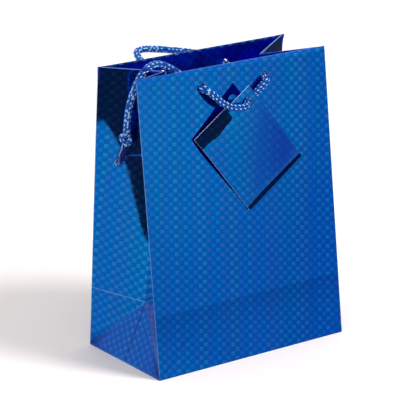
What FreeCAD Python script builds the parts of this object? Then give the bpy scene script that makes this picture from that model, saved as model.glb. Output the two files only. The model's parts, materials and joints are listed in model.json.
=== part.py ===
import FreeCAD, Part
import math
import os

from FreeCAD import Placement, Rotation, Vector

# Small foil gift bag with two braided cord handles and a hung gift tag.
# Millimetres. +Z up, +Y from the front wall to the back wall, X along the width.
# The origin is the middle of the base, on the surface that the bag stands on.

doc = FreeCAD.newDocument("GiftBag")

# ---------------------------------------------------------------- driving sizes
SIZES = {
    "BagWidth": 110.0,
    "BaseDepth": 62.0,
    "WallLength": 145.0,
    "WallTilt": 5.7,
    "Paper": 0.35,
    "CreaseGap": 0.3,
    "GussetGap": 1.5,
    "HemLength": 27.0,
    "HemSideGap": 3.8,
    "CardLength": 24.0,
    "CardInset": 5.0,
    "CardThick": 0.8,
    "LayerGap": 0.02,
    "HolePitch": 37.0,
    "HoleDrop": 9.5,
    "HoleRadius": 2.4,
    "SeamWidth": 14.0,
    "SeamSideGap": 2.6,
    "SeamDrop": 30.0,
    "FlapOverlap": 20.0,
    "FrontFlapReach": 23.0,
    "SideFlapReach": 24.0,
    "SideFlapTaper": 14.0,
    "BoardInset": 2.0,
    "BoardThick": 1.0,
    "BoardCorner": 3.0,
    "CordDiameter": 3.5,
    "KnotWidth": 7.4,
    "KnotHeight": 8.6,
    "TailEndRadius": 2.6,
    "TagLong": 49.0,
    "TagShort": 37.5,
    "TagThick": 0.4,
    "TagHoleInset": 6.0,
    "TagHoleRadius": 2.9,
    "TagTurn": 53.4,
    "TagLift": 6.9,
    "TagCornerX": -26.0,
    "TagCornerUp": 112.0,
    "TagCornerOut": 0.75,
}

sheet = doc.addObject("Spreadsheet::Sheet", "Sizes")
for row, (alias, value) in enumerate(SIZES.items(), start=1):
    sheet.set(f"A{row}", alias)
    sheet.set(f"B{row}", str(value))
    sheet.setAlias(f"B{row}", alias)
doc.recompute()


def size(alias):
    """One driving size, read back from the sheet."""
    return float(getattr(sheet, alias))


WIDTH = size("BagWidth")
DEPTH = size("BaseDepth")
LENGTH = size("WallLength")
TILT = math.radians(size("WallTilt"))
PAPER = size("Paper")
GAP = size("CreaseGap")
CORD = size("CordDiameter")
HALF_WIDTH = WIDTH / 2
HALF_DEPTH = DEPTH / 2
HOLE_UP = LENGTH - size("HoleDrop")
HOLE_X = size("HolePitch") / 2

pieces = []  # every sub-part of the bag, in the order they are made


def piece(obj, label):
    """Files an object as one sub-part under its own name."""
    obj.Label = label
    pieces.append(obj)
    return obj


# ---------------------------------------------------------------- frames of the walls
# A wall point is (x, up the wall, out of the wall's outer face). Both walls lean in by WallTilt.
def front_point(x, up, out):
    return Vector(
        x,
        -HALF_DEPTH + up * math.sin(TILT) - out * math.cos(TILT),
        up * math.cos(TILT) + out * math.sin(TILT),
    )


def back_point(x, up, out):
    mirror = front_point(x, up, out)
    return Vector(mirror.x, -mirror.y, mirror.z)


def wall_placement(side, out):
    """Puts a plate drawn in XY, with Y up the wall and Z outwards, onto the front or back wall."""
    lean = 90 - size("WallTilt")
    if side == "front":
        turn = Rotation(Vector(1, 0, 0), lean)
        return Placement(front_point(0, 0, out), turn)
    turn = Rotation(Vector(0, 0, 1), 180).multiply(Rotation(Vector(1, 0, 0), lean))
    return Placement(back_point(0, 0, out), turn)


# ---------------------------------------------------------------- sketched plates
def origin_plane(body, role):
    for feature in body.Origin.OriginFeatures:
        if feature.Role == role:
            return feature
    raise ValueError(role)


def new_sketch(body, role):
    sketch = body.newObject("Sketcher::SketchObject", body.Name + "Sketch")
    sketch.AttachmentSupport = [(origin_plane(body, role), "")]
    sketch.MapMode = "FlatFace"
    return sketch


def add_outline(sketch, corners):
    points = [Vector(x, y, 0) for x, y in corners]
    for start, end in zip(points, points[1:] + points[:1]):
        sketch.addGeometry(Part.LineSegment(start, end), False)


def add_hole(sketch, x, y, radius):
    sketch.addGeometry(Part.Circle(Vector(x, y, 0), Vector(0, 0, 1), radius), False)


def plate(label, corners, thickness_alias, placement, holes=(), hole_alias="HoleRadius"):
    """A flat sheet: one padded sketch, with round punched holes."""
    body = doc.addObject("PartDesign::Body", label.title().replace("_", ""))
    sketch = new_sketch(body, "XY_Plane")
    add_outline(sketch, corners)
    for x, y in holes:
        add_hole(sketch, x, y, size(hole_alias))
    pad = body.newObject("PartDesign::Pad", body.Name + "Pad")
    pad.Profile = sketch
    pad.setExpression("Length", f"Sizes.{thickness_alias}")
    body.Placement = placement
    return piece(body, label)


def rectangle(x_low, x_high, y_low, y_high):
    return [(x_low, y_low), (x_high, y_low), (x_high, y_high), (x_low, y_high)]


# ---------------------------------------------------------------- front and back walls
HEM_OUT = -PAPER - size("CardThick") - 2 * size("LayerGap")


def wall(side):
    """The wall sheet, the stiffening card behind its holes and the hem folded down over it."""
    holes = [(-HOLE_X, HOLE_UP), (HOLE_X, HOLE_UP)]
    panel = rectangle(-HALF_WIDTH, HALF_WIDTH, PAPER + GAP, LENGTH)
    plate(f"{side}_panel", panel, "Paper", wall_placement(side, -PAPER), holes)

    card_x = HALF_WIDTH - size("CardInset")
    card = rectangle(-card_x, card_x, LENGTH - PAPER - size("CardLength"), LENGTH - PAPER)
    card_out = -PAPER - size("LayerGap") - size("CardThick")
    plate(f"{side}_reinforcement_card", card, "CardThick", wall_placement(side, card_out), holes)

    hem_x = HALF_WIDTH - size("HemSideGap")
    hem = rectangle(-hem_x, hem_x, LENGTH - size("HemLength"), LENGTH)
    plate(f"{side}_hem", hem, "Paper", wall_placement(side, HEM_OUT - PAPER), holes)


wall("front")
wall("back")

# The glue flap of the sheet's one seam, inside the back wall beside the left gusset.
seam_low = HALF_WIDTH - size("SeamWidth")
seam_high = HALF_WIDTH - size("SeamSideGap")
plate(
    "side_seam_flap",
    rectangle(seam_low, seam_high, size("SeamSideGap"), LENGTH - size("SeamDrop")),
    "Paper",
    wall_placement("back", -2 * PAPER - size("LayerGap")),
)

# ---------------------------------------------------------------- block bottom
STEP = PAPER + size("LayerGap")  # height of one layer of the folded bottom


def bottom_flaps():
    """Two short side flaps, the front flap over them, and the back flap glued outermost."""
    overlap = size("FlapOverlap")
    seam_y = HALF_DEPTH - overlap - size("FrontFlapReach")
    flat = Placement(Vector(0, 0, 0), Rotation())
    back = rectangle(-HALF_WIDTH, HALF_WIDTH, seam_y, HALF_DEPTH)
    plate("back_bottom_flap", back, "Paper", flat)

    # The front flap lies on the ground, then steps up over the edge of the back flap.
    ramp = 2.0
    section = [
        (-HALF_DEPTH, 0),
        (seam_y - ramp, 0),
        (seam_y - GAP, STEP),
        (seam_y + overlap, STEP),
        (seam_y + overlap, STEP + PAPER),
        (seam_y - GAP, STEP + PAPER),
        (seam_y - ramp, PAPER),
        (-HALF_DEPTH, PAPER),
    ]
    body = doc.addObject("PartDesign::Body", "FrontBottomFlap")
    sketch = new_sketch(body, "YZ_Plane")
    add_outline(sketch, section)
    pad = body.newObject("PartDesign::Pad", "FrontBottomFlapPad")
    pad.Profile = sketch
    pad.Midplane = True
    pad.setExpression("Length", "Sizes.BagWidth")
    piece(body, "front_bottom_flap")

    reach = size("SideFlapReach")
    taper = size("SideFlapTaper")
    side_y = HALF_DEPTH - 2 * PAPER
    outline = [
        (-HALF_WIDTH, -side_y),
        (-HALF_WIDTH + reach, -side_y + taper),
        (-HALF_WIDTH + reach, side_y - taper),
        (-HALF_WIDTH, side_y),
    ]
    for name, angle in (("left", 0), ("right", 180)):
        raised = Placement(Vector(0, 0, 2 * STEP), Rotation(Vector(0, 0, 1), angle))
        plate(f"{name}_bottom_flap", outline, "Paper", raised)


def base_board():
    """The loose grey card that stiffens the base, with rounded corners."""
    low = 3 * STEP
    side = HALF_WIDTH - size("BoardInset")
    depth = HALF_DEPTH - size("BoardInset")
    placement = Placement(Vector(0, 0, low), Rotation())
    body = plate("base_board", rectangle(-side, side, -depth, depth), "BoardThick", placement)
    doc.recompute()
    pad = body.Tip
    upright = [
        f"Edge{i}"
        for i, edge in enumerate(pad.Shape.Edges, start=1)
        if abs(edge.Length - size("BoardThick")) < 1e-6
    ]
    fillet = body.newObject("PartDesign::Fillet", "BaseBoardFillet")
    fillet.Base = (pad, upright)
    fillet.setExpression("Radius", "Sizes.BoardCorner")


bottom_flaps()
base_board()

# ---------------------------------------------------------------- side gussets
# Each gusset folds inwards along a middle crease. Its lower part has two creases from the base
# corners, which meet the middle crease at the valley point. All panels keep their cut size.
STRIP_ROWS = 8  # ruled bands that a twisted gusset half is made of


def gusset_points():
    """The crease points of the left gusset's front half, on the sheet's outer face."""
    edge_y = HALF_DEPTH * math.sin(TILT)
    edge_z = HALF_DEPTH * math.cos(TILT)
    rise = HALF_DEPTH**2 - (HALF_DEPTH - edge_y) ** 2
    valley_z = (HALF_DEPTH**2 - rise + edge_z**2) / (2 * edge_z)
    valley_in = math.sqrt(HALF_DEPTH**2 - valley_z**2)
    top_y = LENGTH * math.sin(TILT)
    top_in = math.sqrt(HALF_DEPTH**2 - (HALF_DEPTH - top_y) ** 2)
    upper = LENGTH - HALF_DEPTH
    top_z = valley_z + math.sqrt(upper**2 - (top_in - valley_in) ** 2)
    x = -HALF_WIDTH
    return {
        "corner": Vector(x, -HALF_DEPTH, 0),
        "middle": Vector(x, 0, 0),
        "edge": Vector(x, -HALF_DEPTH + edge_y, edge_z),
        "edge_top": Vector(x, -HALF_DEPTH + top_y, LENGTH * math.cos(TILT)),
        "valley": Vector(x + valley_in, 0, valley_z),
        "valley_top": Vector(x + top_in, 0, top_z),
    }


def inset(corners, amount):
    """Moves every side of a flat triangle inwards by amount."""
    sides = [(b - a).Length for a, b in zip(corners, corners[1:] + corners[:1])]
    area = (corners[1] - corners[0]).cross(corners[2] - corners[0]).Length / 2
    in_radius = 2 * area / sum(sides)
    opposite = sides[1:] + sides[:1]
    incentre = sum((c * s for c, s in zip(corners, opposite)), Vector()) * (1.0 / sum(sides))
    scale = (in_radius - amount) / in_radius
    return [incentre + (c - incentre) * scale for c in corners]


def facet(corners, inwards):
    """A flat triangle of paper between three creases, thickened towards the inside."""
    near = inset(corners, GAP / 2)
    normal = (corners[1] - corners[0]).cross(corners[2] - corners[0]).normalize()
    if normal.dot(inwards) < 0:
        normal = normal * -1
    face = Part.Face(Part.makePolygon(near + near[:1]))
    return face.extrude(normal * PAPER)


def strip(points, first, depth_in, wall_gap):
    """The twisted upper half of a gusset, from its first share of the height up to the mouth.

    Its rows run from the wall's edge to the middle crease. depth_in is how far the sheet lies
    inside the gusset's outer face, and wall_gap how far it stays off the wall.
    """
    shares = [first] + [i / STRIP_ROWS for i in range(STRIP_ROWS + 1) if i / STRIP_ROWS > first]
    inside = Vector(1, -1, 0)
    outer = []
    inner = []
    for share in shares:
        edge = lerp(points["edge"], points["edge_top"], share)
        crease = lerp(points["valley"], points["valley_top"], share)
        along_edge = points["edge_top"] - points["edge"]
        across = (crease - edge).normalize()
        normal = across.cross(along_edge).normalize()
        if normal.dot(inside) < 0:
            normal = normal * -1
        ends = (edge + across * wall_gap, crease - across * (GAP / 2))
        outer.append([end + normal * depth_in for end in ends])
        inner.append([end + normal * (depth_in + PAPER) for end in ends])
    sections = []
    for (edge_out, crease_out), (edge_in, crease_in) in zip(outer, inner):
        sections.append(Part.makePolygon([edge_out, crease_out, crease_in, edge_in, edge_out]))
    return Part.makeLoft(sections, True, True)


def lerp(a, b, share):
    return a + (b - a) * share


def sheet_feature(label, shape):
    feature = doc.addObject("Part::Feature", label.title().replace("_", ""))
    if shape.Volume < 0:
        shape.reverse()
    feature.Shape = shape
    feature.Placement = Placement(Vector(0, 0, 0), Rotation())
    return piece(feature, label)


def mirrored(shape, side, half):
    """The left front half, mirrored to the other side or half."""
    if half == "back":
        shape = shape.mirror(Vector(0, 0, 0), Vector(0, 1, 0))
    if side == "right":
        shape = shape.mirror(Vector(0, 0, 0), Vector(1, 0, 0))
    return shape


def gussets():
    p = gusset_points()
    lift = Vector(0, 0, 3 * STEP)
    inner = Vector(1, 0, 0)
    wall_gap = PAPER + GAP
    hem_first = 1 - size("HemLength") / (LENGTH - HALF_DEPTH)
    corner = p["corner"] + lift + Vector(0, wall_gap, 0)
    edge = p["edge"] + Vector(0, wall_gap, 0)
    shapes = {
        "corner_fold": facet([corner, edge, p["valley"]], inner),
        "base_fold": facet([corner, p["middle"] + lift, p["valley"]], inner),
        "gusset": strip(p, GAP / LENGTH, 0, size("GussetGap")),
        "gusset_hem": strip(p, hem_first, STEP, size("CardThick") + size("GussetGap")),
    }
    for side in ("left", "right"):
        for half in ("front", "back"):
            for name, shape in shapes.items():
                sheet_feature(f"{side}_{half}_{name}", mirrored(shape.copy(), side, half))
    return p


GUSSET = gussets()


# ---------------------------------------------------------------- gift tag
def tag():
    """A foil card hung by a hole in its top corner. Two of its corners rest on the front wall."""
    long_side = size("TagLong")
    short_side = size("TagShort")
    hole_inset = size("TagHoleInset")
    corner = front_point(size("TagCornerX"), size("TagCornerUp"), size("TagCornerOut"))
    wall_turn = wall_placement("front", 0).Rotation
    in_wall = Rotation(Vector(0, 0, 1), -size("TagTurn"))
    lift = Rotation(Vector(1, 0, 0), size("TagLift"))
    placement = Placement(corner, wall_turn.multiply(in_wall).multiply(lift))
    hole = (hole_inset, short_side - hole_inset)
    outline = rectangle(0, long_side, 0, short_side)
    plate("gift_tag", outline, "TagThick", placement, [hole], "TagHoleRadius")
    centre = placement.multVec(Vector(hole[0], hole[1], size("TagThick") / 2))
    print("tag hole centre", [round(v, 2) for v in centre])


tag()


# ---------------------------------------------------------------- cords
def tube(label, route):
    """A cord along straight runs joined by arcs that touch them."""
    edges = []
    radii = []
    start = route[0]
    for before, here, after in zip(route, route[1:], route[2:]):
        into = (here - before).normalize()
        out = (after - here).normalize()
        turn = into.getAngle(out)
        cut = 0.45 * min((here - before).Length, (after - here).Length)
        radii.append(cut / math.tan(turn / 2))
        arc_start = here - into * cut
        arc_end = here + out * cut
        bisector = (out - into).normalize()
        centre = here + bisector * (cut / math.sin(turn / 2))
        arc_middle = centre - bisector * radii[-1]
        edges.append(Part.LineSegment(start, arc_start).toShape())
        edges.append(Part.Arc(arc_start, arc_middle, arc_end).toShape())
        start = arc_end
    edges.append(Part.LineSegment(start, route[-1]).toShape())
    path = Part.Wire(edges)
    direction = (route[1] - route[0]).normalize()
    ring = Part.Wire(Part.makeCircle(CORD / 2, route[0], direction))
    solid = path.makePipeShell([ring], True, False)
    expected = math.pi * CORD**2 / 4 * path.Length
    print(
        f"{label}: length {path.Length:.1f}, least radius {min(radii):.1f},",
        f"volume {solid.Volume:.0f} of {expected:.0f}",
    )
    assert abs(solid.Volume / expected - 1) < 0.02, label
    return sheet_feature(label, solid)


def wall_route(to_point, points):
    return [to_point(*point) for point in points]


# Outer loops, as (x, up the wall, out of the wall). The front one passes through the tag's hole.
FRONT_LOOP = [
    (-18.5, 135.5, -0.6),
    (-18.1, 135.0, 2.6),
    (-15.2, 131.9, 4.6),
    (-11.2, 127.6, 5.4),
    (-7.2, 125.2, 6.2),
    (-2.8, 124.4, 7.2),
    (1.5, 124.4, 7.0),
    (4.4, 125.2, 2.9),
    (8.6, 127.4, 2.1),
    (13.0, 130.7, 2.3),
    (17.3, 134.4, 2.9),
    (18.5, 135.5, -0.6),
]
BACK_LOOP = [
    (-18.5, 135.5, -0.6),
    (-18.7, 135.8, 5.0),
    (-19.6, 136.9, 12.0),
    (-20.0, 138.9, 17.6),
    (-18.6, 140.7, 21.6),
    (-13.4, 140.7, 23.2),
    (-7.0, 139.6, 23.5),
    (0.2, 138.2, 23.2),
    (7.0, 136.9, 22.2),
    (13.6, 135.9, 19.4),
    (18.0, 135.8, 13.6),
    (19.2, 135.8, 7.4),
    (18.6, 135.5, 2.4),
    (18.5, 135.5, -0.6),
]
# Inside strands. The front left one climbs out of the mouth and over the left gusset.
FRONT_LEFT_STRAND = [
    front_point(-18.5, 135.5, -1.9),
    front_point(-18.9, 136.0, -4.4),
    Vector(-22.0, -12.3, 138.2),
    Vector(-27.0, -11.8, 141.8),
    Vector(-32.6, -11.3, 145.9),
    Vector(-38.9, -11.0, 148.9),
    Vector(-44.0, -11.3, 148.1),
    Vector(-46.6, -11.2, 147.0),
]
HANGING_STRAND = [
    Vector(-47.8, -10.6, 146.0),
    Vector(-49.9, -9.5, 141.8),
    Vector(-51.4, -9.2, 137.4),
    Vector(-53.2, -9.1, 133.2),
    Vector(-54.6, -9.1, 128.6),
    Vector(-55.4, -9.0, 123.8),
    Vector(-55.8, -8.8, 119.0),
]
FRONT_RIGHT_STRAND = [
    front_point(18.5, 135.5, -1.9),
    front_point(18.9, 135.1, -5.0),
    front_point(20.4, 130.6, -7.4),
    front_point(21.6, 124.0, -7.0),
    front_point(21.2, 116.4, -6.2),
    front_point(21.9, 110.0, -6.2),
]
BACK_STRAND = [
    (18.5, 135.5, -1.9),
    (18.9, 135.0, -5.0),
    (20.2, 130.2, -7.2),
    (20.6, 124.2, -6.8),
    (19.8, 117.4, -6.2),
]

KNOT_HALF = size("KnotHeight") / 2


def knot(label, top, direction):
    """A stopper knot below the end of a strand."""
    ball = doc.addObject("Part::Ellipsoid", label.title().replace("_", ""))
    ball.setExpression("Radius1", "Sizes.KnotHeight / 2")
    ball.setExpression("Radius2", "Sizes.KnotWidth / 2")
    ball.setExpression("Radius3", "Sizes.KnotWidth / 2")
    centre = top + direction * KNOT_HALF
    ball.Placement = Placement(centre, Rotation(Vector(0, 0, 1), direction))
    piece(ball, label)
    return top + direction * (2 * KNOT_HALF)


def tail(label, top, direction, length):
    """The frayed end below a knot: a cone that widens where the threads spread."""
    cone = doc.addObject("Part::Cone", label.title().replace("_", ""))
    cone.setExpression("Radius1", "Sizes.CordDiameter / 2")
    cone.setExpression("Radius2", "Sizes.TailEndRadius")
    cone.Height = length
    cone.Placement = Placement(top, Rotation(Vector(0, 0, 1), direction))
    piece(cone, label)


def knotted_end(name, strand, tail_direction, tail_length):
    """The knot and the tail that follow the last run of a strand."""
    direction = (strand[-1] - strand[-2]).normalize()
    end = knot(f"{name}_knot", strand[-1], direction)
    tail(f"{name}_tail", end, tail_direction.normalize(), tail_length)


def cords():
    tube("front_cord_loop", wall_route(front_point, FRONT_LOOP))
    tube("front_cord_left_strand", FRONT_LEFT_STRAND)
    tube("front_cord_right_strand", FRONT_RIGHT_STRAND)
    tube("front_cord_hanging_end", HANGING_STRAND)
    knotted_end("hanging", HANGING_STRAND, Vector(-4.2, 2.4, -10.0), 9.5)
    knotted_end("front_right", FRONT_RIGHT_STRAND, Vector(0.8, 0.6, -10.0), 10.0)

    tube("back_cord_loop", wall_route(back_point, BACK_LOOP))
    for name, sign in (("left", -1), ("right", 1)):
        strand = [back_point(sign * x, up, out) for x, up, out in BACK_STRAND]
        tube(f"back_cord_{name}_strand", strand)
        knotted_end(f"back_{name}", strand, Vector(sign * 1.2, -0.4, -10.0), 9.0)


cords()

# ---------------------------------------------------------------- checks and export
doc.recompute()
failed = [o.Name for o in doc.Objects if "Invalid" in o.State or "Error" in o.State]
if failed:
    raise RuntimeError(f"failed objects: {failed}")

os.makedirs("parts", exist_ok=True)
for obj in pieces:
    shape = obj.Shape
    if shape.isNull() or not shape.isValid() or not shape.Solids:
        raise RuntimeError(f"bad shape: {obj.Label}")
    if shape.Volume <= 0:
        raise RuntimeError(f"inside out: {obj.Label}")
    shape.exportStep(f"parts/{obj.Label}.step")

print(f"{len(pieces)} pieces")
print("gusset points", {k: [round(c, 1) for c in v] for k, v in GUSSET.items()})
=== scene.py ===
"""A small blue foil gift bag with knitted cord handles and a hung gift tag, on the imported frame."""
import json
import math
import random

import bmesh
import bpy
import numpy as np
from mathutils import Matrix, Vector
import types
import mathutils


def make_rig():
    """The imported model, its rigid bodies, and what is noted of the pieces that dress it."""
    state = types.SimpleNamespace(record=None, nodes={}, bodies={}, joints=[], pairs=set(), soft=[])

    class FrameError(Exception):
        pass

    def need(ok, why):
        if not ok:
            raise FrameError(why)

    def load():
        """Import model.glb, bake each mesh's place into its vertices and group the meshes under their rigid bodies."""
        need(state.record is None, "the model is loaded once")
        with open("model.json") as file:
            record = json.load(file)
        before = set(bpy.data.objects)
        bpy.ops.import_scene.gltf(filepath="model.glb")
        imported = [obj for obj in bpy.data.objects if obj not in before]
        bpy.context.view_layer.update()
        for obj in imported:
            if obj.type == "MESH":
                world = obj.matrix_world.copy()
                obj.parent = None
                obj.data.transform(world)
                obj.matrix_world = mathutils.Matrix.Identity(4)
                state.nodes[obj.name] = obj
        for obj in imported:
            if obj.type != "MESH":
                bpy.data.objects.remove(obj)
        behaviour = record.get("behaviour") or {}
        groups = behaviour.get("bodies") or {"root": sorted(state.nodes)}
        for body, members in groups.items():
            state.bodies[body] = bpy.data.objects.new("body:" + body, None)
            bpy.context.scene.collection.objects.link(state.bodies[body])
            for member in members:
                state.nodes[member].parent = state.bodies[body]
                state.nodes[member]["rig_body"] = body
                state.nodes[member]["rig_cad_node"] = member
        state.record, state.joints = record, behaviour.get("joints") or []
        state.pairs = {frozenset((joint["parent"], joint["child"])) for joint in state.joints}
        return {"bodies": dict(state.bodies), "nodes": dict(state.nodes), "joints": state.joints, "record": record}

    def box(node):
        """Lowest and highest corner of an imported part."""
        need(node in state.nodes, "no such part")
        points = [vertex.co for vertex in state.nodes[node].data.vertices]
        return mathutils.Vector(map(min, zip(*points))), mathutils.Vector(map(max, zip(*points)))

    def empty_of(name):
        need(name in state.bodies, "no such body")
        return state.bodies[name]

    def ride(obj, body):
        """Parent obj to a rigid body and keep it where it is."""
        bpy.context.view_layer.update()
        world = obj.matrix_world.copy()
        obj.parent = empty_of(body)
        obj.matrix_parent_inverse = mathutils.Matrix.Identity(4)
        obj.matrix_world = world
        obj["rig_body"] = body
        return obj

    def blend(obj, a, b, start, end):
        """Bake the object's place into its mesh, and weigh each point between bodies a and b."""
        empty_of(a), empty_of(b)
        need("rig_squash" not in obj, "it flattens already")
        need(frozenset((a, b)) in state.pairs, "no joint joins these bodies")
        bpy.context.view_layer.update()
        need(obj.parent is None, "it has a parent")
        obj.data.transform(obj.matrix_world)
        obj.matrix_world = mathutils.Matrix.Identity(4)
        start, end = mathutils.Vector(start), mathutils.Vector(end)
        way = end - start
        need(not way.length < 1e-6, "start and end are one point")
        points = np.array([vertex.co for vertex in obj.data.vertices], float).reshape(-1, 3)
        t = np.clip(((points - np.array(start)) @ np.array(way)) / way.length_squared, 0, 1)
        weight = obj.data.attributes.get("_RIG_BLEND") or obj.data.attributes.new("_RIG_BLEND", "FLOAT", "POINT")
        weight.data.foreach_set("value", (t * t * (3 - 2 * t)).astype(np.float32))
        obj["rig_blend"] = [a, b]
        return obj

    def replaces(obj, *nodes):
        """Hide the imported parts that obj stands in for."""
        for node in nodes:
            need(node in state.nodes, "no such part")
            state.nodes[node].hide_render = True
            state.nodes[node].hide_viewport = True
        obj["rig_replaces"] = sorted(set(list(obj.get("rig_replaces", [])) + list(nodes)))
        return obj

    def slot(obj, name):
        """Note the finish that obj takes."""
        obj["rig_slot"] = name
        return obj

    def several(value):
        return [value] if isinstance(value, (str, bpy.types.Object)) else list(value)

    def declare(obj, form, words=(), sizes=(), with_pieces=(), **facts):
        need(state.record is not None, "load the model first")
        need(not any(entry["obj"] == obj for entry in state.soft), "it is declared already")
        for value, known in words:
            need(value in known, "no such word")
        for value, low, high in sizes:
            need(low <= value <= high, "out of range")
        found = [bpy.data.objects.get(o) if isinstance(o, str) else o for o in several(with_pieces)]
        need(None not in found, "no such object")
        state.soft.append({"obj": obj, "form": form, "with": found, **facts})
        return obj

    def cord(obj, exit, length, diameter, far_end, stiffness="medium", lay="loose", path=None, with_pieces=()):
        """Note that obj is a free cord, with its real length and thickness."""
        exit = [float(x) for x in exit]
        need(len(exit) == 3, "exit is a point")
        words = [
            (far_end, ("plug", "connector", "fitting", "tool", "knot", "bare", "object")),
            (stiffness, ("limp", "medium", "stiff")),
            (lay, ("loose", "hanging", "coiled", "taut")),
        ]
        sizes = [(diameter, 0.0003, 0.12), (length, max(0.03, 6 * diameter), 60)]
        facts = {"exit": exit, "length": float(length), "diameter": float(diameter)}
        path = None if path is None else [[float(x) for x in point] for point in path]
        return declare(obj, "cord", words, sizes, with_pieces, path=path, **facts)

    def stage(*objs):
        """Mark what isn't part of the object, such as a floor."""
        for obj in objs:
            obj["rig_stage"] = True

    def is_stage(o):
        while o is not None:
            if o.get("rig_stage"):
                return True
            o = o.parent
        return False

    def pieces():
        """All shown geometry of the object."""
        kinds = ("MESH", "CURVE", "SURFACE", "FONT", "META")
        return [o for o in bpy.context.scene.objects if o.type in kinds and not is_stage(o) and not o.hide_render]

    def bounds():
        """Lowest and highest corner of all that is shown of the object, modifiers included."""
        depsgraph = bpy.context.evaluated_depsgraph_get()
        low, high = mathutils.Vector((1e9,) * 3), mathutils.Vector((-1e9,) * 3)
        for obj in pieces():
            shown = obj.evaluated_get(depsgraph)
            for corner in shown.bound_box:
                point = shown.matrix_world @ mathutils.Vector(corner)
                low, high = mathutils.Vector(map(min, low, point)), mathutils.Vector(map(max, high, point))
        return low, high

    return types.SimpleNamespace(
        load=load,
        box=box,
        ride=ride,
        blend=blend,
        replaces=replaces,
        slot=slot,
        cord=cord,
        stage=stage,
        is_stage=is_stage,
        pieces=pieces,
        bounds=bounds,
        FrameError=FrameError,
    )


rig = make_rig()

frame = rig.load()
cad_low, cad_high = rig.bounds()

MM = 0.001

# ---------------------------------------------------------------- sizes, read from the frame
panel_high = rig.box("front_panel")[1]
PAPER = 0.35 * MM
HALF_WIDTH = panel_high.x
HALF_DEPTH = -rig.box("front_bottom_flap")[0].y
TOP_Y = panel_high.y - PAPER
TILT = math.atan2(HALF_DEPTH + TOP_Y, panel_high.z)
LENGTH = panel_high.z / math.cos(TILT)
TOP_GAP = -TOP_Y / math.cos(TILT) * 0.9   # nearly from the wall to the middle plane at the mouth
HEM = 27 * MM
WALL_HEM_DEPTH = 1.55 * MM   # outer face of the wall to the face of the hem, over the card
GUSSET_HEM_DEPTH = 0.76 * MM
HOLE_UP = LENGTH - 9.5 * MM
HOLE_X = 18.5 * MM
HOLE_RADIUS = 2.4 * MM
CORD = 3.5 * MM
BASE_UP = 0.4 * MM           # the sheet starts on top of the folded bottom


def wall_point(side, x, up, out):
    """A point beside the front or back wall: across, up the wall and out of its outer face."""
    y = -HALF_DEPTH + up * math.sin(TILT) - out * math.cos(TILT)
    z = up * math.cos(TILT) + out * math.sin(TILT)
    return Vector((x, y if side == "front" else -y, z))


def front_mm(x, up, out):
    return wall_point("front", x * MM, up * MM, out * MM)


def back_mm(x, up, out):
    return wall_point("back", x * MM, up * MM, out * MM)


def smooth(value, low, high):
    share = min(max((value - low) / (high - low), 0.0), 1.0)
    return share * share * (3 - 2 * share)


# ---------------------------------------------------------------- node materials
class Shader:
    """A node material with short calls for the nodes that this bag needs."""

    def __init__(self, name):
        self.material = bpy.data.materials.new(name)
        self.material.use_nodes = True
        self.tree = self.material.node_tree
        self.bsdf = self.tree.nodes["Principled BSDF"]

    def node(self, kind, **values):
        made = self.tree.nodes.new(kind)
        for key, value in values.items():
            if key in made.inputs:
                made.inputs[key].default_value = value
            else:
                setattr(made, key, value)
        return made

    def link(self, source, target):
        self.tree.links.new(source, target)

    def feed(self, socket, value):
        """Gives a socket a plain value, or a link from another node."""
        if isinstance(value, (int, float, tuple)):
            socket.default_value = value
        else:
            self.link(value, socket)

    def give(self, name, value):
        self.feed(self.bsdf.inputs[name], value)

    def math(self, operation, a, b=None, clamp=False):
        made = self.node("ShaderNodeMath", operation=operation, use_clamp=clamp)
        self.feed(made.inputs[0], a)
        if b is not None:
            self.feed(made.inputs[1], b)
        return made.outputs[0]

    def times(self, a, b):
        return self.math("MULTIPLY", a, b)

    def apart(self, a, b):
        """How far two values are apart."""
        return self.math("ABSOLUTE", self.math("SUBTRACT", a, b))

    def mix_colour(self, factor, a, b):
        made = self.node("ShaderNodeMix", data_type="RGBA")
        for socket, value in ((made.inputs[0], factor), (made.inputs[6], a), (made.inputs[7], b)):
            self.feed(socket, value)
        return made.outputs[2]

    def scaled(self, vector, scale):
        made = self.node("ShaderNodeVectorMath", operation="MULTIPLY")
        self.link(vector, made.inputs[0])
        made.inputs[1].default_value = scale
        return made.outputs[0]

    def noise(self, vector, scale, detail=3.0, rough=0.5):
        made = self.node("ShaderNodeTexNoise", Scale=scale, Detail=detail, Roughness=rough)
        self.link(vector, made.inputs["Vector"])
        return made.outputs["Fac"]

    def cell_noise(self, cell, step, detail):
        """Noise with one value for each whole number of cell."""
        made = self.node("ShaderNodeTexNoise", noise_dimensions="1D", Scale=1.0, Detail=detail)
        self.link(self.times(cell, step), made.inputs["W"])
        return made.outputs["Fac"]

    def range(self, value, low, high, to_low, to_high):
        made = self.node("ShaderNodeMapRange", clamp=True)
        self.link(value, made.inputs["Value"])
        for name, limit in (("From Min", low), ("From Max", high), ("To Min", to_low),
                            ("To Max", to_high)):
            made.inputs[name].default_value = limit
        return made.outputs["Result"]

    def bump(self, height, strength, distance, normal=None):
        made = self.node("ShaderNodeBump", Strength=strength, Distance=distance)
        self.link(height, made.inputs["Height"])
        if normal is not None:
            self.link(normal, made.inputs["Normal"])
        return made.outputs["Normal"]

    def coordinates(self, kind):
        """Sheet coordinates in millimetres: the flat sheet's own UV, or the object's place."""
        if kind == "uv":
            return self.node("ShaderNodeUVMap", uv_map="Flat").outputs["UV"]
        place = self.node("ShaderNodeTexCoord").outputs["Object"]
        return self.scaled(place, (1 / MM, 1 / MM, 1 / MM))

    def across_and_up(self, place):
        split = self.node("ShaderNodeSeparateXYZ")
        self.link(place, split.inputs[0])
        return split.outputs[0], split.outputs[1]


def darker(colour, share):
    return tuple(share * c for c in colour[:3]) + (1.0,)


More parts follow.
